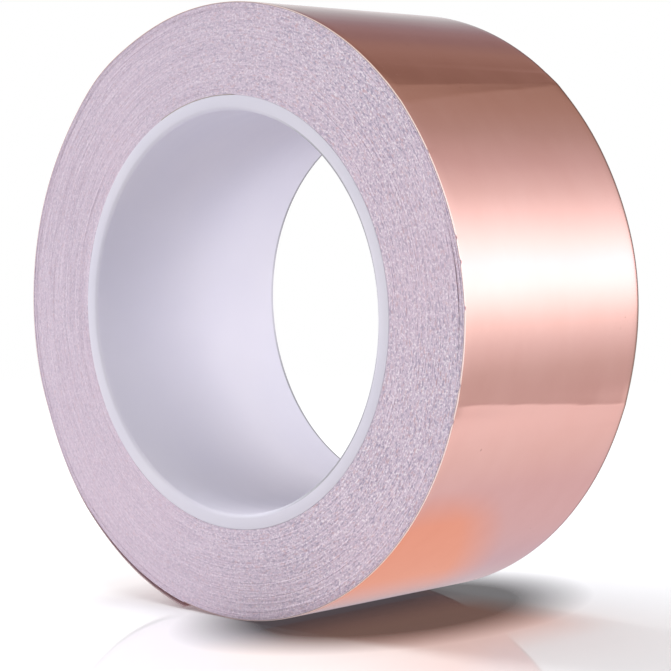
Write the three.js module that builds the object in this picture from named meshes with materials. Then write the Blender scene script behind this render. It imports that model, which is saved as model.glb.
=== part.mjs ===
// A roll of copper foil tape standing on its rim: a plastic core tube, the web of release liner,
// adhesive and copper wound on it, and the web's free end, which lifts off the roll as a tail.
//
// Millimetres, +Z up. The roll's axis lies along Y at AXIS_HEIGHT and the rim rests on z = 0.
// Angles are degrees about that axis, counted from +X towards +Z. The web is wound so that its
// radius grows with the angle, and its free end lies at TIP, just short of the lowest point.
import * as THREE from "three";

// The wound roll
const TAPE_WIDTH = 50;
const OUTER_RADIUS = 58.3;
const CORE_BORE_RADIUS = 38;
const CORE_WALL = 2.9;
const CORE_BORE_CHAMFER = 0.6;
const CORE_RIM_CHAMFER = 0.3;

// The web, from its inside face to its copper face. FIT separates pieces that lie on each other.
const LINER = 0.09;
const ADHESIVE = 0.03;
const FOIL = 0.05;
const FIT = 0.01;
const PITCH = LINER + ADHESIVE + FOIL + 3 * FIT;

// Every turn is made of flat facets, and one of them lies flat on the ground.
const FACET = 3.6;
const GROUND = 270;
const FIRST_VERTEX = GROUND + FACET / 2 - 360;
const TIP = FIRST_VERTEX + 96 * FACET;
const INNER_END = TIP - 360;
const END_GAP = 0.01;

// The turns under the outermost one that have slipped and stand off the pack in a narrow crescent
const LOOSE_TURNS = 5;
const SLACK = 0.3;
const SLACK_START = -15.5;
const SLACK_END = 30;

// The tail: four links, whose copper is free of its liner over the last stretch
const LINKS = 4;
const LINK_ARC = 3 * FACET;
const TAIL_START = TIP - LINKS * LINK_ARC;
const TAIL_LIFT = 0.8;
const PEEL_START = TIP - 2 * FACET;

// The strip of tape that starts the web on the core
const STARTER = 0.09;
const STARTER_START = 24.5 * FACET;
const STARTER_END = STARTER_START + 8 * FACET;
const STARTER_GAP = 0.1;

const coreRadius = CORE_BORE_RADIUS + CORE_WALL;
const groundRadius = outermost(GROUND + FACET / 2 - 360);
const AXIS_HEIGHT = groundRadius * Math.cos(radians(FACET / 2));

const copper = new THREE.MeshStandardMaterial({ color: 0xd79a82, roughness: 0.32, metalness: 1 });
const adhesive = new THREE.MeshStandardMaterial({ color: 0xc9bfc2, roughness: 0.5, metalness: 0 });
const liner = new THREE.MeshStandardMaterial({ color: 0xe2cfd2, roughness: 0.75, metalness: 0 });
const woundEdge = new THREE.MeshStandardMaterial({ color: 0xcdbccf, roughness: 0.65, metalness: 0 });
const corePlastic = new THREE.MeshStandardMaterial({ color: 0xe4e3ee, roughness: 0.45, metalness: 0 });
const starterTape = new THREE.MeshStandardMaterial({ color: 0xe8e2cf, roughness: 0.8, metalness: 0 });

function radians(degrees) {
  return (degrees * Math.PI) / 180;
}

// How far the slipped turns stand off the pack
function slack(angle) {
  if (angle <= SLACK_START || angle >= SLACK_END) {
    return 0;
  }
  const across = (angle - SLACK_START) / (SLACK_END - SLACK_START);
  return SLACK * Math.sin(Math.PI * across) ** 2;
}

// How far the free tail stands off the turn under it
function lift(angle) {
  return Math.max(0, (TAIL_LIFT * (angle - TAIL_START)) / (TIP - TAIL_START));
}

// Radius of the tightly wound web's copper face, one turn down for each full turn back
function spiral(angle) {
  return OUTER_RADIUS - (PITCH * (TIP - angle)) / 360;
}

// Radius of the outermost turn's copper face
function outermost(angle) {
  return spiral(angle) + slack(angle) + lift(angle);
}

// The angles of the facets' edges from one angle to another, with both ends
function facetAngles(start, end) {
  const angles = [start];
  const first = Math.floor((start - FIRST_VERTEX) / FACET + 1.001);
  for (let k = first; FIRST_VERTEX + k * FACET < end - 0.001 * FACET; k += 1) {
    angles.push(FIRST_VERTEX + k * FACET);
  }
  angles.push(end);
  return angles;
}

function pointsAt(angles, radius) {
  return angles.map((angle) => {
    const r = radius(angle);
    return new THREE.Vector2(r * Math.cos(radians(angle)), r * Math.sin(radians(angle)));
  });
}

// Stands a flat outline up in the XZ plane and gives it the tape's width along Y
function acrossTape(shape) {
  const geometry = new THREE.ExtrudeGeometry(shape, { depth: TAPE_WIDTH, bevelEnabled: false });
  const stand = new THREE.Matrix4();
  stand.set(1, 0, 0, 0, 0, 0, -1, TAPE_WIDTH / 2, 0, 1, 0, AXIS_HEIGHT, 0, 0, 0, 1);
  return geometry.applyMatrix4(stand);
}

// A layer of the web over part of a turn
function layer(innerRadius, outerRadius, start, end) {
  const angles = facetAngles(start + END_GAP, end - END_GAP);
  const outline = pointsAt(angles, outerRadius).concat(pointsAt(angles, innerRadius).reverse());
  return acrossTape(new THREE.Shape(outline));
}

// A whole number of turns, whose outline steps up by one web where the spiral comes round
function turns(innerOutline, outerRadius) {
  const shape = new THREE.Shape(pointsAt(facetAngles(INNER_END, TIP), outerRadius));
  shape.holes.push(new THREE.Path(innerOutline));
  return acrossTape(shape);
}

function namedMesh(name, geometry, material) {
  const mesh = new THREE.Mesh(geometry, material);
  mesh.name = name;
  return mesh;
}

function coreTube() {
  const halfLength = TAPE_WIDTH / 2;
  const profile = [
    new THREE.Vector2(CORE_BORE_RADIUS, -halfLength + CORE_BORE_CHAMFER),
    new THREE.Vector2(CORE_BORE_RADIUS + CORE_BORE_CHAMFER, -halfLength),
    new THREE.Vector2(coreRadius - CORE_RIM_CHAMFER, -halfLength),
    new THREE.Vector2(coreRadius, -halfLength + CORE_RIM_CHAMFER),
    new THREE.Vector2(coreRadius, halfLength - CORE_RIM_CHAMFER),
    new THREE.Vector2(coreRadius - CORE_RIM_CHAMFER, halfLength),
    new THREE.Vector2(CORE_BORE_RADIUS + CORE_BORE_CHAMFER, halfLength),
    new THREE.Vector2(CORE_BORE_RADIUS, halfLength - CORE_BORE_CHAMFER),
    new THREE.Vector2(CORE_BORE_RADIUS, -halfLength + CORE_BORE_CHAMFER),
  ];
  const geometry = new THREE.LatheGeometry(profile, 360 / FACET, radians(FACET / 2));
  geometry.translate(0, 0, AXIS_HEIGHT);
  return namedMesh("core_tube", geometry, corePlastic);
}

function starterStrip() {
  const inside = () => coreRadius + FIT;
  const outside = () => coreRadius + FIT + STARTER;
  return namedMesh("core_starter_strip", layer(inside, outside, STARTER_START, STARTER_END), starterTape);
}

// The tight inner turns, whose first one steps over the starter strip
function woundPack() {
  const recessStart = STARTER_START - STARTER_GAP;
  const recessEnd = STARTER_END + STARTER_GAP;
  const onCore = () => coreRadius + FIT;
  const onStrip = () => coreRadius + STARTER + 2 * FIT;
  const bore = pointsAt(facetAngles(recessEnd - 360, recessStart), onCore)
    .concat(pointsAt(facetAngles(recessStart, recessEnd), onStrip));
  const outside = (angle) => spiral(angle) - (1 + LOOSE_TURNS) * PITCH;
  return namedMesh("wound_pack", turns(bore, outside), woundEdge);
}

// The slipped turns between the pack and the outermost one
function looseTurns() {
  const inside = (angle) => spiral(angle) + slack(angle) - (1 + LOOSE_TURNS) * PITCH + FIT;
  const outside = (angle) => spiral(angle) + slack(angle) - PITCH;
  const bore = pointsAt(facetAngles(INNER_END, TIP), inside);
  return namedMesh("loose_turns", turns(bore, outside), woundEdge);
}

// The web's three layers: how deep each one's faces lie under the copper face
const LAYERS = [
  { part: "foil", top: 0, bottom: FOIL, material: copper },
  { part: "adhesive", top: FOIL + FIT, bottom: FOIL + FIT + ADHESIVE, material: adhesive },
  { part: "liner", top: PITCH - FIT - LINER, bottom: PITCH - FIT, material: liner },
];

function webLayer(name, { top, bottom, material }, start, end) {
  const inside = (angle) => outermost(angle) - bottom;
  const outside = (angle) => outermost(angle) - top;
  return namedMesh(name, layer(inside, outside, start, end), material);
}

function outermostTurn() {
  return LAYERS.map((web) => webLayer(`outer_turn_${web.part}`, web, INNER_END, TAIL_START));
}

// One link of the tail. The last link keeps its liner to the tip, and its copper stops at the peel.
function tailLink(number) {
  const start = TAIL_START + (number - 1) * LINK_ARC;
  const end = start + LINK_ARC;
  return LAYERS.map((web) => {
    const webEnd = web.part === "liner" ? end : Math.min(end, PEEL_START);
    return webLayer(`tail_${number}_${web.part}`, web, start, webEnd);
  });
}

// The end of the copper with its adhesive, which peels off the liner
function peelingEnd() {
  const copperSide = LAYERS.filter((web) => web.part !== "liner");
  return copperSide.map((web) => webLayer(`peel_end_${web.part}`, web, PEEL_START, TIP));
}

const roll = new THREE.Group();
roll.add(coreTube(), starterStrip(), woundPack(), looseTurns(), ...outermostTurn());
for (let number = 1; number <= LINKS; number += 1) {
  roll.add(...tailLink(number));
}
roll.add(...peelingEnd());

export default roll;
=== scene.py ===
"""A roll of copper foil tape: the looks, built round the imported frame.

Metres, +Z up. The roll's axis runs along Y. Angles are degrees about that axis, counted from +X
towards +Z. The web's radius grows with the angle, and its free end lies at TIP.
"""
import math

import bmesh
import bpy
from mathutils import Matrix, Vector, noise


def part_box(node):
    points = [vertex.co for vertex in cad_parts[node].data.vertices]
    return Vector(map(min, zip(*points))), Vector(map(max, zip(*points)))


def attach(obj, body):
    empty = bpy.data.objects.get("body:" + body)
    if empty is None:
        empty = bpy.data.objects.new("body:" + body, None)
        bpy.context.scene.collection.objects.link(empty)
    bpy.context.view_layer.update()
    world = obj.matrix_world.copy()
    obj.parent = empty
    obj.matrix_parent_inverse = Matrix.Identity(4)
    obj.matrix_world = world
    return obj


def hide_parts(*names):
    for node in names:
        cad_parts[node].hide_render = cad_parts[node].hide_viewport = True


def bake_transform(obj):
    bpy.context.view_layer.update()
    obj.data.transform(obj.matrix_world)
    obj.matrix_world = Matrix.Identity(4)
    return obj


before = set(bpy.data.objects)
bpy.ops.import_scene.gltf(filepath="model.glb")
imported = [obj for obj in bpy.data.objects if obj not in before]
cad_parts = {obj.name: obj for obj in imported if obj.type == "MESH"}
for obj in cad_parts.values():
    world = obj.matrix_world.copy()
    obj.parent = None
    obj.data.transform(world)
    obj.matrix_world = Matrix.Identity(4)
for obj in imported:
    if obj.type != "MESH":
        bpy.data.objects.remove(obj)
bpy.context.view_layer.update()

MM = 0.001

# The roll, as the frame holds it
core_low, core_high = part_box("core_tube")
AXIS_Z = (core_low.z + core_high.z) / 2
HALF_WIDTH = (core_high.y - core_low.y) / 2
OUTER_RADIUS = 58.3 * MM
CORE_RADIUS = 40.9 * MM
BORE_RADIUS = 38.0 * MM

# The rounds at the core's edges, inside and outside, and the steps round the core
BORE_ROUND = 0.8 * MM
CORE_RIM_ROUND = 0.12 * MM
CORE_STEPS = 256

# The web, from its copper face down: foil, adhesive, liner. FIT separates pieces that lie on
# each other.
FIT = 0.01 * MM
PITCH = 0.2 * MM
FOIL_BOTTOM = 0.05 * MM
ADHESIVE_TOP = 0.06 * MM
ADHESIVE_BOTTOM = 0.09 * MM
LINER_TOP = 0.10 * MM
LINER_BOTTOM = 0.19 * MM
LOOSE_TURNS = 5
PACK_TURNS = 80

# Where the web starts, lies loose, bends and ends
TIP = 257.4
LINK_ARC = 10.8
LINKS = 4
TAIL_START = TIP - LINKS * LINK_ARC
PEEL_START = TIP - 7.2
TAIL_LIFT = 0.8 * MM
SLACK = 0.3 * MM
SLACK_START = -15.5
SLACK_END = 30.0
STARTER_START = 88.2
STARTER_END = 117.0
STARTER_BOTTOM = CORE_RADIUS + FIT
STARTER_TOP = STARTER_BOTTOM + 0.09 * MM

# Where the wound web has settled out of round: the angle, its reach and how far the rim moves
SETTLED = (
    (129, 9, 0.50 * MM),
    (204, 7, -0.25 * MM),
    (222, 7, 0.15 * MM),
)

# The side faces: how far the turns' edges lie inside the core's ends, how deep the grooves
# between them are, how far the edges wander and are burred, how many degrees that is turned so
# that the two faces differ, and the pack's steps to a turn
EDGE_INSET = 0.05 * MM
EDGE_GROOVE = 0.03 * MM
EDGE_WANDER = 0.05 * MM
EDGE_BURR = 0.03 * MM
SIDE_SHIFT = 40
PACK_STEPS = 300

# The loose turns: how far the innermost stands off, as a share of the outermost's slack, how
# far they have slipped sideways in a slow wave, and its radians to a turn
INNER_SLACK = 0.75
SLIP = 0.04 * MM
SLIP_RATE = 2.1

# The creases across the copper: the angle at mid width, how much further round the back end
# lies than the front one, the ridge's height, its reach to each side and how round its top is
CREASES = (
    (-15.1, -4.1, 0.10 * MM, 1.2, 0.2),
    (44.5, 6.3, 0.12 * MM, 2.6, 0.15),
    (46.9, 2.8, 0.05 * MM, 1.1, 0.15),
)
CREASED_FROM = -20.5
CREASED_TO = 51.5

# How many degrees the creases wander: everywhere, and more the nearer they come to the front
# edge, from the place across the width where they are crumpled
WANDER = 0.35
CRUMPLE = 3.0
CRUMPLED_FROM = -0.34

# Degrees between the meshes' rows along the web: where it is plain, creased, in the tail or at its very
# end
PLAIN_STEP = 1.2
CREASED_STEP = 0.2
TAIL_STEP = 0.6
PEEL_STEP = 0.4

# The web's slit edges: how far they droop and over what width
DROOP = 0.05 * MM
DROOP_WIDTH = 0.35 * MM

# The nicks in the front edge: their angles, their depth and their reach to each side in degrees
NICKS = (-16.4, -10.0, 3.2, 11.0, 15.2, 31.0)
NICK_DEPTH = 0.3 * MM
NICK_REACH = 0.45

# How uneven the copper's face is
RIPPLE = 0.012 * MM

# The camera: its direction from the roll, its place and its lens
CAMERA_AZIMUTH = 43.67
CAMERA_ELEVATION = 4.05
CAMERA_PLACE = (0.30019, -0.31015, AXIS_Z + 0.02507)
CAMERA_LENS = 118.07


# ---------------------------------------------------------------- shape of the web

def bell(x, centre, width):
    """A bump that is 1 high at the centre."""
    return math.exp(-(((x - centre) / width) ** 2))


def wrapped(angle):
    """The same direction, as an angle in the last turn before TIP."""
    return (angle - TIP) % 360 + TIP - 360


def slack(angle):
    """How far the slipped outer turns stand off the pack."""
    a = wrapped(angle)
    if a <= SLACK_START or a >= SLACK_END:
        return 0.0
    return SLACK * math.sin(math.pi * (a - SLACK_START) / (SLACK_END - SLACK_START)) ** 2


def settle(angle, radius):
    """How far the wound web has settled out of round, which grows towards the rim."""
    a = wrapped(angle)
    share = max(0.0, (radius - CORE_RADIUS) / (OUTER_RADIUS - CORE_RADIUS)) ** 2
    return share * sum(height * bell(a, middle, reach) for middle, reach, height in SETTLED)


def spiral(unwound):
    """Radius of the web's copper face at an angle that counts whole turns."""
    return OUTER_RADIUS - PITCH * (TIP - unwound) / 360


def lift(angle):
    """How far the free tail stands off the turn under it."""
    return max(0.0, TAIL_LIFT * (angle - TAIL_START) / (TIP - TAIL_START))


def crease(angle, y):
    """Height of the ridges that folds have left across the copper, crumpled near the front edge."""
    if not CREASED_FROM < angle < CREASED_TO:
        return 0.0
    across = y / (2 * HALF_WIDTH)
    reach = WANDER + CRUMPLE * max(0.0, CRUMPLED_FROM - across)
    wander = reach * noise.noise(Vector((y * 900, 3.1, 0.7)))
    height = 0.0
    for middle, skew, top, width, roundness in CREASES:
        away = angle - middle - skew * across - wander
        height += top * math.exp(-math.hypot(away, roundness) / width)
    return height


def droop(y):
    """How far the slit edges lie below the middle of the web."""
    inside = max(0.0, 1 - (HALF_WIDTH - abs(y)) / DROOP_WIDTH)
    return DROOP * inside ** 1.5


def nick(angle):
    """How far the front edge is set back by the nicks."""
    return NICK_DEPTH * max(bell(wrapped(angle), middle, NICK_REACH) for middle in NICKS)


def ripple(angle, y):
    """Slight unevenness of the wound copper's face."""
    x, z = math.cos(math.radians(angle)), math.sin(math.radians(angle))
    return RIPPLE * noise.noise(Vector((x * 9, z * 9, y * 60)))


def outermost(angle, y=0.0):
    """Radius of the outermost turn's copper face."""
    r = spiral(angle) + slack(angle) + lift(angle) + settle(angle, OUTER_RADIUS)
    return r + crease(angle, y) - droop(y) + ripple(angle, y)


def place(radius, angle, y):
    """The point at that radius and angle about the roll's axis."""
    a = math.radians(angle)
    return (radius * math.cos(a), y, AXIS_Z + radius * math.sin(a))


# ---------------------------------------------------------------- mesh helpers

def mesh_object(name, verts, faces, material, smooth_angle=30):
    """A piece that is smooth wherever its faces meet at less than the angle."""
    mesh = bpy.data.meshes.new(name)
    mesh.from_pydata(verts, [], faces)
    turned = bmesh.new()
    turned.from_mesh(mesh)
    bmesh.ops.recalc_face_normals(turned, faces=turned.faces)
    turned.to_mesh(mesh)
    turned.free()
    mesh.materials.append(material)
    obj = bpy.data.objects.new(name, mesh)
    bpy.context.scene.collection.objects.link(obj)
    mesh.polygons.foreach_set("use_smooth", [True] * len(mesh.polygons))
    mesh.set_sharp_from_angle(angle=math.radians(smooth_angle))
    return obj


def lathe(name, profile, steps, material):
    """A closed ring from a closed profile of (radius, y) points."""
    count = len(profile)
    verts = [place(r, 360 * i / steps, y) for i in range(steps) for r, y in profile]
    faces = []
    for i in range(steps):
        j = (i + 1) % steps
        for k in range(count):
            n = (k + 1) % count
            faces.append((i * count + k, i * count + n, j * count + n, j * count + k))
    return mesh_object(name, verts, faces, material)


def arc_points(centre, radius, start, end, steps):
    """Points of a round corner in the (radius, y) plane."""
    points = []
    for i in range(steps + 1):
        a = math.radians(start + (end - start) * i / steps)
        points.append((centre[0] + radius * math.cos(a), centre[1] + radius * math.sin(a)))
    return points


def angles_between(start, end, step, fine=None):
    """Angles at even steps, with finer ones where fine=(from, to, step) asks for them."""
    stops = [(start, end, step)]
    if fine:
        stops = [(start, fine[0], step), fine, (fine[1], end, step)]
    angles = [start]
    for low, high, size in stops:
        count = max(1, round((high - low) / size))
        angles += [low + (high - low) * (i + 1) / count for i in range(count)]
    return angles


def strip(name, top, bottom, angles, rows, material, edge=None):
    """A closed layer of web along the angles; top and bottom give its radii at (angle, y)."""
    verts = []
    for a in angles:
        front, back = edge(a) if edge else (-HALF_WIDTH, HALF_WIDTH)
        flat = back - front - 2 * DROOP_WIDTH
        ys = [front, front + DROOP_WIDTH / 2]
        ys += [front + DROOP_WIDTH + flat * k / rows for k in range(rows + 1)]
        ys += [back - DROOP_WIDTH / 2, back]
        verts += [place(top(a, y), a, y) for y in ys]
        verts += [place(bottom(a, y), a, y) for y in reversed(ys)]
    points = len(ys)
    ring = 2 * points
    last = (len(angles) - 1) * ring
    faces = []
    for i in range(0, last, ring):
        for k in range(ring):
            n = (k + 1) % ring
            faces.append((i + k, i + ring + k, i + ring + n, i + n))
    for k in range(points - 1):
        faces.append((k, k + 1, ring - 2 - k, ring - 1 - k))
        faces.append((last + k + 1, last + k, last + ring - 1 - k, last + ring - 2 - k))
    return mesh_object(name, verts, faces, material)


# ---------------------------------------------------------------- material helpers

class Nodes:
    """Short calls for building a node tree."""

    def __init__(self, name):
        self.material = bpy.data.materials.new(name)
        self.material.use_nodes = True
        self.tree = self.material.node_tree
        self.shader = self.tree.nodes["Principled BSDF"]

    def add(self, kind, inputs=None, **settings):
        node = self.tree.nodes.new(kind)
        for key, value in settings.items():
            setattr(node, key, value)
        for key, value in (inputs or {}).items():
            self.feed(node.inputs[key], value)
        return node

    def feed(self, socket, value):
        """Links the socket to another one, or gives it a plain value."""
        if isinstance(value, bpy.types.NodeSocket):
            self.tree.links.new(value, socket)
        else:
            socket.default_value = value

    def math(self, operation, a, b=0.0, c=0.0):
        return self.add("ShaderNodeMath", {0: a, 1: b, 2: c}, operation=operation).outputs[0]

    def mix(self, factor, a, b):
        """The colour between a and b. Sockets 6 and 7 and output 2 are the node's colour ones."""
        node = self.add("ShaderNodeMix", data_type="RGBA")
        self.feed(node.inputs[0], factor)
        self.feed(node.inputs[6], a)
        self.feed(node.inputs[7], b)
        return node.outputs[2]

    def noise(self, vector, scale, detail=2.0, roughness=0.5):
        node = self.add("ShaderNodeTexNoise", {"Scale": scale, "Detail": detail, "Roughness": roughness})
        self.feed(node.inputs["Vector"], vector)
        return node.outputs["Fac"]

    def remap(self, value, low, high, to_low=0.0, to_high=1.0):
        node = self.add("ShaderNodeMapRange", {1: low, 2: high, 3: to_low, 4: to_high})
        self.feed(node.inputs[0], value)
        return node.outputs[0]

    def bump(self, height, strength, distance):
        node = self.add("ShaderNodeBump", {"Strength": strength, "Distance": distance})
        self.feed(node.inputs["Height"], height)
        return node.outputs["Normal"]

    def place(self):
        """Where the surface is: x, y and the height over the roll's axis."""
        split = self.add("ShaderNodeSeparateXYZ")
        self.feed(split.inputs[0], self.add("ShaderNodeTexCoord").outputs["Object"])
        x, y, z = split.outputs
        return x, y, self.math("SUBTRACT", z, AXIS_Z)

    def length(self, a, b):
        """The length of (a, b)."""
        return self.math("SQRT", self.math("MULTIPLY_ADD", a, a, self.math("MULTIPLY", b, b)))

    def surface(self, shader):
        """Uses another shader in place of the first one."""
        self.tree.links.new(shader, self.tree.nodes["Material Output"].inputs["Surface"])

    def glow(self, colour, strength=1.0):
        """A light-giving shader, which isn't sampled as a lamp."""
        self.material.cycles.emission_sampling = "NONE"
        return self.add("ShaderNodeEmission", {"Color": colour, "Strength": strength}).outputs[0]

    def vector(self, x, y, z):
        node = self.add("ShaderNodeCombineXYZ")
        for socket, value in zip(node.inputs, (x, y, z)):
            self.feed(socket, value)
        return node.outputs[0]

    def scaled(self, x, y, z, sx, sy, sz):
        """The place for a noise that is finer or coarser along each of three directions."""
        return self.vector(
            self.math("MULTIPLY", x, sx), self.math("MULTIPLY", y, sy), self.math("MULTIPLY", z, sz))


def copper_material():
    """Bright rolled foil, faintly waved, hazed and stained, with a few specks. Its front edge is
    rougher and less metallic on its right-hand half, with a painted pale highlight there, and its
    back edge has a painted dark shade, stronger towards the top."""
    m = Nodes("copper_foil")
    x, y, z = m.place()
    here = m.vector(x, y, z)
    waves = m.noise(m.scaled(x, y, z, 420, 14, 420), 1.0, 2.0)
    waves = m.math("MULTIPLY", waves, m.remap(z, 0.030, 0.046))
    haze = m.noise(m.scaled(x, y, z, 110, 150, 110), 1.0, 3.0)
    stain = m.noise(here, 34.0, 4.0)
    speck = m.noise(here, 780.0, 1.0)
    base = m.mix(m.remap(haze, 0.3, 0.7), (0.925, 0.605, 0.505, 1), (0.945, 0.63, 0.53, 1))
    base = m.mix(m.remap(stain, 0.45, 0.75, 0.0, 0.4), base, (0.90, 0.56, 0.46, 1))
    base = m.mix(m.remap(speck, 0.80, 0.84, 0.0, 0.7), base, (0.42, 0.24, 0.19, 1))
    # A painted pale highlight along the front edge on the right-hand half, where the foil is also made
    # rougher and less metallic
    burr_and_edge_highlight = m.remap(y, 0.35 * MM - HALF_WIDTH, 0.10 * MM - HALF_WIDTH)
    burr_and_edge_highlight = m.math("MULTIPLY", burr_and_edge_highlight, m.remap(x, -0.010, 0.010))
    base = m.mix(burr_and_edge_highlight, base, (0.96, 0.80, 0.73, 1))
    # A painted dark shade along the back edge, stronger towards the top
    back_edge_shade = m.remap(y, HALF_WIDTH - 0.75 * MM, HALF_WIDTH - 0.40 * MM, 0.0, 0.85)
    back_edge_shade = m.math("MULTIPLY", back_edge_shade, m.remap(z, -0.010, 0.030, 0.6, 1.0))
    base = m.mix(back_edge_shade, base, (0.36, 0.21, 0.17, 1))
    m.feed(m.shader.inputs["Base Color"], base)
    m.feed(m.shader.inputs["Metallic"], m.math("MULTIPLY_ADD", burr_and_edge_highlight, -0.6, 1.0))
    rough = m.remap(haze, 0.3, 0.7, 0.10, 0.15)
    m.feed(m.shader.inputs["Roughness"], m.math("MULTIPLY_ADD", burr_and_edge_highlight, 0.35, rough))
    height = m.math("MULTIPLY_ADD", waves, 3.0, m.math("MULTIPLY", haze, 0.6))
    m.feed(m.shader.inputs["Normal"], m.bump(height, 0.12, 0.00005))
    return m.material


def wound_edge_material():
    """The edges of the wound web, with fine arcs, fibres and specks, and its copper face inside."""
    m = Nodes("wound_edge")
    x, y, z = m.place()
    r = m.length(x, z)
    here = m.vector(x, y, z)
    arcs = m.noise(m.scaled(r, x, z, 4200, 55, 55), 1.0, 2.0)
    bands = m.noise(m.scaled(r, x, z, 900, 12, 12), 1.0, 2.0)
    speck = m.noise(here, 2400.0, 2.0, 0.6)
    fibre = m.noise(m.scaled(r, x, z, 2600, 1300, 1300), 1.0, 2.0, 0.6)
    rust = m.noise(m.scaled(r, x, z, 2300, 900, 900), 1.0, 2.0, 0.6)
    patch = m.noise(here, 28.0, 2.0)
    coarse = m.remap(x, -0.02, 0.035, 0.4, 1.0)
    base = m.mix(m.remap(arcs, 0.3, 0.7), (0.53, 0.43, 0.53, 1), (0.67, 0.57, 0.67, 1))
    base = m.mix(m.remap(bands, 0.35, 0.7, 0.0, 0.3), base, (0.54, 0.47, 0.57, 1))
    light = m.math("MULTIPLY", m.remap(speck, 0.50, 0.64, 0.0, 0.8), coarse)
    base = m.mix(light, base, (0.90, 0.84, 0.88, 1))
    dark = m.math("MULTIPLY", m.remap(fibre, 0.50, 0.64, 0.0, 0.9), coarse)
    base = m.mix(dark, base, (0.33, 0.29, 0.40, 1))
    warm = m.math("MULTIPLY", m.remap(rust, 0.56, 0.70, 0.0, 0.6), coarse)
    base = m.mix(warm, base, (0.56, 0.33, 0.34, 1))
    base = m.mix(m.remap(patch, 0.4, 0.7, 0.0, 0.3), base, (0.70, 0.54, 0.64, 1))
    y = m.math("ABSOLUTE", y)
    inside = m.remap(y, HALF_WIDTH - 0.30 * MM, HALF_WIDTH - 0.18 * MM, 1.0, 0.0)
    base = m.mix(inside, base, (0.90, 0.58, 0.48, 1))
    m.feed(m.shader.inputs["Base Color"], base)
    m.feed(m.shader.inputs["Metallic"], inside)
    rough = m.remap(speck, 0.3, 0.7, 0.5, 0.75)
    m.feed(m.shader.inputs["Roughness"], m.math("MULTIPLY_ADD", inside, -0.4, rough))
    m.feed(m.shader.inputs["Normal"], m.bump(m.math("ADD", speck, arcs), 0.35, 0.00006))
    return m.material


def core_material():
    """Moulded plastic, faintly clouded and scuffed, with painted grey shade lines round the bore's lips.
    """
    m = Nodes("core_plastic")
    x, y, z = m.place()
    r = m.length(x, z)
    here = m.vector(x, y, z)
    cloud = m.noise(here, 35.0, 2.0)
    grain = m.noise(here, 900.0, 3.0)
    scuff = m.noise(m.scaled(x, y, z, 40, 500, 40), 1.0, 3.0)
    base = m.mix(m.remap(cloud, 0.35, 0.65), (0.63, 0.615, 0.705, 1), (0.67, 0.65, 0.725, 1))
    # Painted grey shade round the bore's back lip, and round its front lip on the right-hand side,
    # weaker at the height of the axis
    back = m.math("MULTIPLY", m.remap(y, HALF_WIDTH - 1.1 * MM, HALF_WIDTH - 0.9 * MM),
                  m.remap(r, BORE_RADIUS + 0.45 * MM, BORE_RADIUS + 0.25 * MM))
    front = m.math("MULTIPLY", m.remap(r, BORE_RADIUS + 0.70 * MM, BORE_RADIUS + 0.55 * MM),
                   m.math("MULTIPLY", m.remap(y, 1.2 * MM - HALF_WIDTH, 0.9 * MM - HALF_WIDTH),
                          m.remap(x, 0.010, 0.026)))
    uneven = m.remap(m.math("ABSOLUTE", z), 0.004, 0.018, 0.35, 0.9)
    lip_shade = m.math("MULTIPLY", m.math("MAXIMUM", front, back), uneven)
    base = m.mix(lip_shade, base, (0.24, 0.24, 0.26, 1))
    m.feed(m.shader.inputs["Base Color"], base)
    m.feed(m.shader.inputs["Roughness"], m.remap(scuff, 0.3, 0.7, 0.38, 0.5))
    m.feed(m.shader.inputs["Normal"], m.bump(grain, 0.08, 0.00005))
    return m.material


def paper_material(name, low, high, roughness):
    """Fibrous sheet between two colours, darker at its cut edges."""
    m = Nodes(name)
    x, y, z = m.place()
    here = m.vector(x, y, z)
    fibre = m.noise(m.scaled(x, y, z, 900, 2600, 900), 1.0, 3.0, 0.6)
    cloud = m.noise(here, 120.0, 2.0)
    base = m.mix(m.remap(fibre, 0.3, 0.7), low, high)
    base = m.mix(m.remap(cloud, 0.4, 0.7, 0.0, 0.3), base, low)
    cut = m.remap(m.math("ABSOLUTE", y), HALF_WIDTH - 0.06 * MM, HALF_WIDTH - 0.02 * MM, 0.0, 0.6)
    base = m.mix(cut, base, (0.22, 0.15, 0.16, 1))
    m.feed(m.shader.inputs["Base Color"], base)
    m.feed(m.shader.inputs["Roughness"], m.remap(fibre, 0.3, 0.7, roughness - 0.08, roughness + 0.08))
    m.feed(m.shader.inputs["Normal"], m.bump(fibre, 0.15, 0.00004))
    return m.material


COPPER = copper_material()
WOUND_EDGE = wound_edge_material()
CORE = core_material()
LINER = paper_material("release_liner", (0.72, 0.55, 0.60, 1), (0.82, 0.66, 0.70, 1), 0.55)
ADHESIVE = paper_material("adhesive", (0.62, 0.55, 0.56, 1), (0.72, 0.66, 0.67, 1), 0.35)
STARTER = paper_material("starter_tape", (0.70, 0.66, 0.55, 1), (0.80, 0.76, 0.66, 1), 0.8)


# ---------------------------------------------------------------- pieces

def stands_for(piece, body, node):
    """The piece rides on the body in place of the CAD node."""
    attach(piece, body)
    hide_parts(node)


def core_tube():
    """The plastic tube, with a soft round at the bore's edges and a small one outside."""
    inner, outer = BORE_ROUND, CORE_RIM_ROUND
    profile = arc_points((BORE_RADIUS + inner, -HALF_WIDTH + inner), inner, 180, 270, 6)
    profile += arc_points((CORE_RADIUS - outer, -HALF_WIDTH + outer), outer, 270, 360, 4)
    profile += arc_points((CORE_RADIUS - outer, HALF_WIDTH - outer), outer, 0, 90, 4)
    profile += arc_points((BORE_RADIUS + inner, HALF_WIDTH - inner), inner, 90, 180, 6)
    piece = lathe("core_tube_body", profile, CORE_STEPS, CORE)
    stands_for(piece, "roll", "core_tube")


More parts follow.
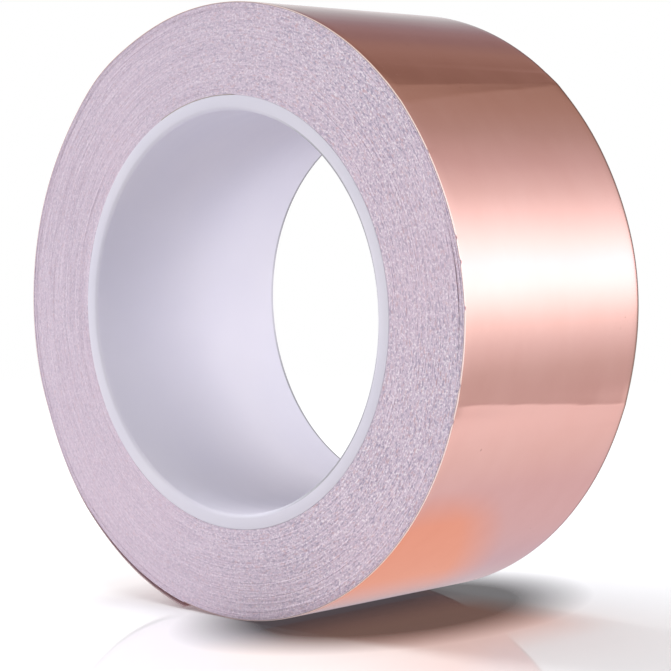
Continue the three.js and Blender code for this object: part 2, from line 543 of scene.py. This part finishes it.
def starter_strip():
    """The strip that holds the web's inner end on the core."""
    piece = strip("starter_strip_body", lambda a, y: STARTER_TOP, lambda a, y: STARTER_BOTTOM,
                  angles_between(STARTER_START, STARTER_END, PLAIN_STEP), 2, STARTER)
    stands_for(piece, "roll", "core_starter_strip")


def turn_offset(unwound):
    """How far the edge of the web stands out of the side face."""
    x, z = math.cos(math.radians(unwound)), math.sin(math.radians(unwound))
    turn = unwound / 360
    wander = noise.noise(Vector((x * 1.3, z * 1.3, turn * 1.7)))
    burr_and_edge_highlight = noise.noise(Vector((x * 24, z * 24, turn * 9.1)))
    return EDGE_WANDER * wander + EDGE_BURR * burr_and_edge_highlight


def wound_pack():
    """The tight inner turns as one spiral: on both side faces each turn's edge is a low ridge."""
    total = PACK_STEPS * PACK_TURNS
    outer_end = TIP - 360 * (1 + LOOSE_TURNS)

    def bottom(angle):
        """Radius where the web first lies, on the core or on the strip that starts it."""
        on_strip = STARTER_START - 1 < wrapped(angle) < STARTER_END + 1
        return FIT + (STARTER_TOP if on_strip else STARTER_BOTTOM)

    def line(count, across, inset):
        """Points on the front then the back face, that share of the way across each turn."""
        first = outer_end - 360 * (PACK_TURNS + 1)
        sides = ([], [])
        for i in range(count):
            unwound = first + 360 * i / PACK_STEPS
            radius = spiral(unwound) + across * PITCH
            radius += settle(unwound, radius)
            if across == 0 and i < PACK_STEPS:
                radius = bottom(unwound)
            for side, points in zip((-1, 1), sides):
                out = turn_offset(unwound + SIDE_SHIFT * side)
                y = side * (HALF_WIDTH - EDGE_INSET + out - inset)
                points.append(place(radius, unwound, y))
        return sides

    grooves = line(total + PACK_STEPS + 1, 0, EDGE_GROOVE)
    ridges = line(total + 1, 0.5, 0)
    verts = grooves[0] + ridges[0] + grooves[1] + ridges[1]
    side_size = len(grooves[0]) + len(ridges[0])
    ridge = len(grooves[0])
    faces = []
    for i in range(total):
        out = i + PACK_STEPS
        front = [(i, ridge + i, ridge + i + 1, i + 1), (ridge + i, out, out + 1, ridge + i + 1)]
        faces += front
        faces += [tuple(v + side_size for v in reversed(f)) for f in front]
    outer = range(total, total + PACK_STEPS)
    walls = [(i, i + 1) for i in range(PACK_STEPS)]
    walls += [(i + 1, i) for i in outer]
    walls += [(ridge, 0), (PACK_STEPS, ridge), (total, ridge + total), (ridge + total, outer.stop)]
    faces += [(a, b, b + side_size, a + side_size) for a, b in walls]
    piece = mesh_object("wound_pack_turns", verts, faces, WOUND_EDGE, 50)
    stands_for(piece, "roll", "wound_pack")


def loose_turns():
    """The outer turns that have slipped a little and stand off the pack in a narrow crescent."""
    first = TIP - 360 * (1 + LOOSE_TURNS)
    last = TIP - 360

    def top(a, y):
        share = INNER_SLACK + (1 - INNER_SLACK) * (a - first) / (last - first)
        radius = spiral(a) + slack(a) * share
        return radius + settle(a, radius)

    def edge(a):
        slip = SLIP * math.sin((a - first) / 360 * SLIP_RATE)
        front = slip - HALF_WIDTH - turn_offset(a)
        return front, slip + HALF_WIDTH + turn_offset(a + SIDE_SHIFT)

    piece = strip("loose_turns_web", top, lambda a, y: top(a, y) - LINER_BOTTOM,
                  angles_between(first, last, PLAIN_STEP), 1, WOUND_EDGE, edge)
    stands_for(piece, "roll", "loose_turns")


# The web's layers: how deep each one's faces lie under the copper face, its look and its rows
LAYERS = {
    "foil": (0.0, FOIL_BOTTOM, COPPER, "copper_foil", 24),
    "adhesive": (ADHESIVE_TOP, ADHESIVE_BOTTOM, ADHESIVE, "adhesive", 4),
    "liner": (LINER_TOP, LINER_BOTTOM, LINER, "release_liner", 8),
}


def layer(prefix, part, angles, edge=None):
    """One layer of the web along the angles."""
    top, bottom, material, slot, rows = LAYERS[part]
    piece = strip(f"{prefix}_{part}_web", lambda a, y: outermost(a, y) - top,
                  lambda a, y: outermost(a, y) - bottom, angles, rows, material, edge)
    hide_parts(f"{prefix}_{part}")
    return piece


def outer_turn():
    """The outermost turn up to the tail, in finer steps where it is creased and nicked."""
    fine = (CREASED_FROM, CREASED_TO, CREASED_STEP)
    angles = angles_between(TIP - 360, TAIL_START, PLAIN_STEP, fine)
    for part in LAYERS:
        piece = layer("outer_turn", part, angles, lambda a: (nick(a) - HALF_WIDTH, HALF_WIDTH))
        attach(piece, "roll")


def on_copper(angle):
    """The middle of the copper's face at the angle."""
    return place(outermost(angle), angle, 0)


def bending(piece, start, end):
    """Bakes the piece's placing into its mesh; the points on the copper at the start and end angles are
    found but not used.
    """
    on_copper(start)
    on_copper(end)
    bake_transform(piece)


def tail():
    """The free end, in links one after another, which lift slowly off the turn under them."""
    for n in range(1, LINKS + 1):
        start = TAIL_START + (n - 1) * LINK_ARC
        end = start + LINK_ARC
        bend_end = min(end, PEEL_START)
        for part in LAYERS:
            stop = end if part == "liner" else bend_end
            piece = layer(f"tail_{n}", part, angles_between(start, stop, TAIL_STEP))
            bending(piece, start, bend_end)


def peel_end():
    """The last stretch of the copper and its adhesive, lying over the end of the liner."""
    for part in ("foil", "adhesive"):
        piece = layer("peel_end", part, angles_between(PEEL_START, TIP, PEEL_STEP))
        bending(piece, PEEL_START, TIP)


# ---------------------------------------------------------------- studio

# What the copper reflects: the tent's brightness and tint by angle about the roll's axis. The
# tent glows TENT_GLOW times a colour ramp, whose colours go up to 1.
TENT = (
    (0, (1.50, 1.34, 1.48)),
    (9, (1.90, 1.66, 1.90)),
    (17, (1.90, 1.66, 2.00)),
    (26, (1.56, 1.44, 1.62)),
    (35, (1.20, 1.12, 1.24)),
    (46, (0.86, 0.76, 0.83)),
    (56, (0.62, 0.51, 0.55)),
    (70, (0.46, 0.36, 0.36)),
    (80, (0.41, 0.30, 0.28)),
    (90, (0.37, 0.26, 0.23)),
    (97, (0.25, 0.16, 0.14)),
    (104, (0.28, 0.18, 0.16)),
    (114, (0.33, 0.22, 0.20)),
    (123, (0.28, 0.19, 0.20)),
    (130, (0.31, 0.22, 0.24)),
    (137, (0.32, 0.26, 0.30)),
    (150, (0.48, 0.50, 0.54)),
    (175, (1.10, 1.10, 1.12)),
    (205, (0.62, 0.56, 0.60)),
    (240, (0.63, 0.55, 0.66)),
    (262, (0.69, 0.58, 0.67)),
    (286, (0.71, 0.60, 0.69)),
    (303, (0.81, 0.70, 0.76)),
    (319, (0.94, 0.81, 0.88)),
    (325, (0.58, 0.47, 0.50)),
    (335, (0.63, 0.53, 0.56)),
    (345, (0.86, 0.76, 0.83)),
    (353, (1.12, 1.02, 1.10)),
    (360, (1.50, 1.34, 1.48)),
)
TENT_RADIUS = 0.8
TENT_HALF_LENGTH = 1.3
TENT_GLOW = 2.0

# The soft cards on the floor: two corners, the width of their blurred edges and their colour
CARDS = {
    "warm_card": ((0.012, -0.060), (0.059, 0.028), 0.014, (0.85, 0.51, 0.42, 1)),
    "dark_card": ((-0.040, -0.040), (0.021, 0.028), 0.012, (0.42, 0.37, 0.42, 1)),
}

# The lamps: place, size and watts
LAMPS = {
    "front_light": ((-0.30, -1.3, 0.18), 0.7, 4.7),
    "left_light": ((-0.95, -0.15, 0.6), 0.6, 13.0),
    "top_light": ((0.0, 0.0, 1.25), 1.3, 10.0),
    "back_light": ((0.95, 0.55, 0.36), 0.6, 10.0),
}
FILL = 0.4
WHITE = (1, 1, 1, 1)
BACKDROP_RADIUS = 4.0

# The floor: how far under the roll it lies, the middle and the reach along x and y of its dark
# patch, and the distances from the axis between which it fades out
FLOOR_GAP = 0.03 * MM
SHADE_MIDDLE = (0.016, 0.003)
SHADE_REACH = (0.031, 0.051)
FADE_FROM = 0.2
FADE_TO = 0.5


def stage_mesh(name, verts, faces, material):
    """An object that isn't part of the roll."""
    mesh = bpy.data.meshes.new(name)
    mesh.from_pydata(verts, [], faces)
    mesh.materials.append(material)
    obj = bpy.data.objects.new(name, mesh)
    bpy.context.scene.collection.objects.link(obj)
    return obj


def seen_only_by(obj, rays):
    """Hides the object from every kind of ray but one."""
    for kind in ("camera", "diffuse", "glossy", "shadow", "transmission"):
        if kind != rays:
            setattr(obj, f"visible_{kind}", False)


def light_tent():
    """A soft tent round the roll, which is only seen in gloss."""
    m = Nodes("light_tent")
    x, _, z = m.place()
    turn = m.math("DIVIDE", m.math("ARCTAN2", z, x), 2 * math.pi)
    turn = m.math("FRACT", m.math("ADD", turn, 1.0))
    ramp = m.add("ShaderNodeValToRGB")
    ramp.color_ramp.interpolation = "LINEAR"
    stops = ramp.color_ramp.elements
    while len(stops) < len(TENT):
        stops.new(0.5)
    for stop, (angle, colour) in zip(stops, TENT):
        stop.position = angle / 360
        stop.color = (*[c / TENT_GLOW for c in colour], 1)
    m.feed(ramp.inputs[0], turn)
    m.surface(m.glow(ramp.outputs[0], TENT_GLOW))
    steps = 96
    ends = (-TENT_HALF_LENGTH, TENT_HALF_LENGTH)
    verts = [place(TENT_RADIUS, 360 * i / steps, y) for i in range(steps) for y in ends]
    count = len(verts)
    faces = [(i, i + 1, (i + 3) % count, (i + 2) % count) for i in range(0, count, 2)]
    seen_only_by(stage_mesh("light_tent", verts, faces, m.material), "glossy")


def level_sheet(name, low, high, z, material):
    """A level rectangle between two corners."""
    (x0, y0), (x1, y1) = low, high
    corners = [(x0, y0, z), (x1, y0, z), (x1, y1, z), (x0, y1, z)]
    return stage_mesh(name, corners, [(0, 1, 2, 3)], material)


def faded(m, shader, opacity):
    """Lets the surface fade out where its opacity falls."""
    clear = m.add("ShaderNodeBsdfTransparent").outputs[0]
    m.surface(m.add("ShaderNodeMixShader", {0: opacity, 1: clear, 2: shader}).outputs[0])


def floor():
    """A pale polished floor, shaded where the roll stands, which fades into the backdrop."""
    m = Nodes("floor")
    x, y, _ = m.place()
    across = m.math("DIVIDE", m.math("SUBTRACT", x, SHADE_MIDDLE[0]), SHADE_REACH[0])
    along = m.math("DIVIDE", m.math("SUBTRACT", y, SHADE_MIDDLE[1]), SHADE_REACH[1])
    shade = m.remap(m.length(across, along), 0.6, 1.0, 1.0, 0.0)
    matt = m.mix(shade, (0.93, 0.93, 0.94, 1), (0.04, 0.04, 0.04, 1))
    gloss = m.mix(shade, WHITE, (0.5, 0.48, 0.48, 1))
    diffuse = m.add("ShaderNodeBsdfDiffuse", {"Color": matt}).outputs[0]
    polish = m.add("ShaderNodeBsdfGlossy", {"Color": gloss, "Roughness": 0.05}).outputs[0]
    surface = m.add("ShaderNodeMixShader", {0: 0.35, 1: diffuse, 2: polish}).outputs[0]
    faded(m, surface, m.remap(m.length(x, y), FADE_FROM, FADE_TO, 1.0, 0.0))
    obj = level_sheet("floor", (-1, -1), (1, 1), -FLOOR_GAP, m.material)
    obj.visible_glossy = False
    return obj


def soft_card(name, low, high, blur, colour):
    """A small card on the floor with blurred edges, which is only seen in gloss."""
    m = Nodes(name)
    x, y, _ = m.place()
    opacity = 1.0
    for value, start, end in ((x, low[0], high[0]), (y, low[1], high[1])):
        rise = m.remap(value, start, start + blur)
        fall = m.remap(value, end - blur, end, 1.0, 0.0)
        opacity = m.math("MULTIPLY", m.math("MULTIPLY", rise, fall), opacity)
    faded(m, m.glow(colour), opacity)
    seen_only_by(level_sheet(name, low, high, 0.0, m.material), "glossy")


def backdrop():
    """The white surround behind everything, which lights nothing."""
    m = Nodes("backdrop")
    m.surface(m.glow(WHITE))
    shape = bmesh.new()
    bmesh.ops.create_icosphere(shape, subdivisions=3, radius=BACKDROP_RADIUS)
    verts = [tuple(v.co) for v in shape.verts]
    faces = [tuple(v.index for v in f.verts) for f in shape.faces]
    shape.free()
    seen_only_by(stage_mesh("backdrop", verts, faces, m.material), "camera")


def area_light(name, place_at, size, watts):
    """A soft light aimed at the roll, seen neither directly nor in gloss."""
    data = bpy.data.lights.new(name, "AREA")
    data.size = size
    data.energy = watts
    lamp = bpy.data.objects.new(name, data)
    lamp.location = place_at
    aim = Vector((0, 0, AXIS_Z)) - Vector(place_at)
    lamp.rotation_euler = aim.to_track_quat("-Z", "Y").to_euler()
    lamp.visible_camera = False
    lamp.visible_glossy = False
    bpy.context.scene.collection.objects.link(lamp)
    return lamp


def spare(lamp, obj):
    """The lamp leaves the object unlit."""
    spared = bpy.data.collections.new(f"{lamp.name}_spares")
    spared.objects.link(obj)
    spared.collection_objects[0].light_linking.link_state = "EXCLUDE"
    lamp.light_linking.receiver_collection = spared


def studio():
    """The backdrop, the floor, what the gloss reflects, and the lights."""
    world = bpy.data.worlds.new("studio")
    world.use_nodes = True
    background = world.node_tree.nodes["Background"]
    background.inputs["Color"].default_value = WHITE
    background.inputs["Strength"].default_value = FILL
    bpy.context.scene.world = world
    backdrop()
    ground = floor()
    light_tent()
    for name, card in CARDS.items():
        soft_card(name, *card)
    lamps = {name: area_light(name, *settings) for name, settings in LAMPS.items()}
    spare(lamps["back_light"], ground)
    bpy.context.scene.view_settings.view_transform = "Standard"


def camera():
    """The view from the front right, a little above the roll's axis."""
    data = bpy.data.cameras.new("camera")
    data.lens = CAMERA_LENS
    data.clip_start = 0.01
    a, e = math.radians(CAMERA_AZIMUTH), math.radians(CAMERA_ELEVATION)
    back = Vector((math.sin(a) * math.cos(e), -math.cos(a) * math.cos(e), math.sin(e)))
    obj = bpy.data.objects.new("camera", data)
    obj.location = CAMERA_PLACE
    obj.rotation_euler = (-back).to_track_quat("-Z", "Y").to_euler()
    bpy.context.scene.collection.objects.link(obj)
    bpy.context.scene.camera = obj


camera()
studio()
core_tube()
starter_strip()
wound_pack()
loose_turns()
outer_turn()
tail()
peel_end()
